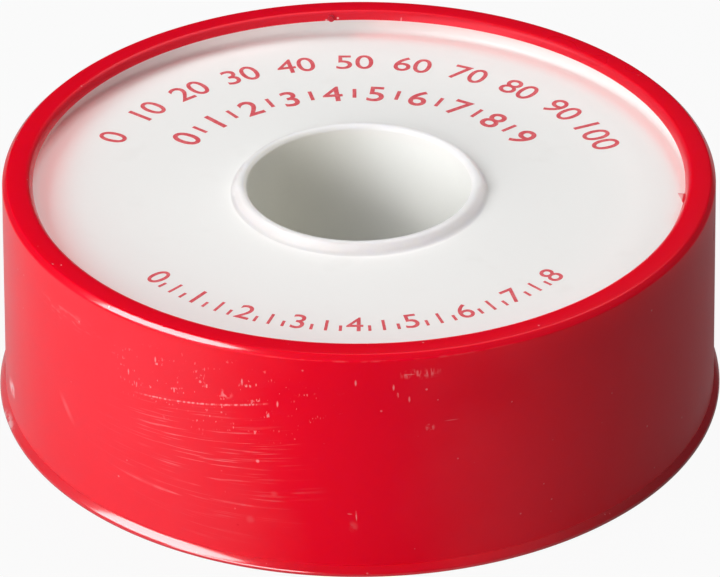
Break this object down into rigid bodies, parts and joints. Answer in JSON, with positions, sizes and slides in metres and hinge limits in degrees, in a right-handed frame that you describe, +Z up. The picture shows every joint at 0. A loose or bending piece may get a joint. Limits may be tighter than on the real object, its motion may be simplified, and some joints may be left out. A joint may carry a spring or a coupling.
{
  "type": "thread seal tape roll",
  "caption": "Flat spool of white thread seal tape with an open hub bore, under a round red slip-on cover that lifts off so the tape can be drawn from the spool.",
  "frame": {"origin": "centre of the round foot, on the surface that the roll stands on", "axes": "+Z up along the spool's axis, out of the open top of the bore; -Y is the front, where the tape's free end lies"},
  "size_m": [0.0736, 0.0736, 0.0241],
  "materials": {
    "cover": "satin moulded",
    "spool": "smooth moulded",
    "tape": "waxy",
    "print": "printed ink"
  },
  "bodies": {
    "spool": {"spool": "spool", "tape_roll": "tape"},
    "tape_end": {"tape_end": "tape"},
    "cover": {"cover_ring": "cover"}
  },
  "joints": [
    {"name": "tape_unwind", "type": "hinge", "parent": "spool", "child": "tape_end", "pos_m": [0, 0, 0.01065], "axis": [0, 0, 1], "continuous": true},
    {"name": "cover_lift", "type": "slide", "parent": "spool", "child": "cover", "axis": [0, 0, 1], "range_m": [0, 0.03]}
  ]
}
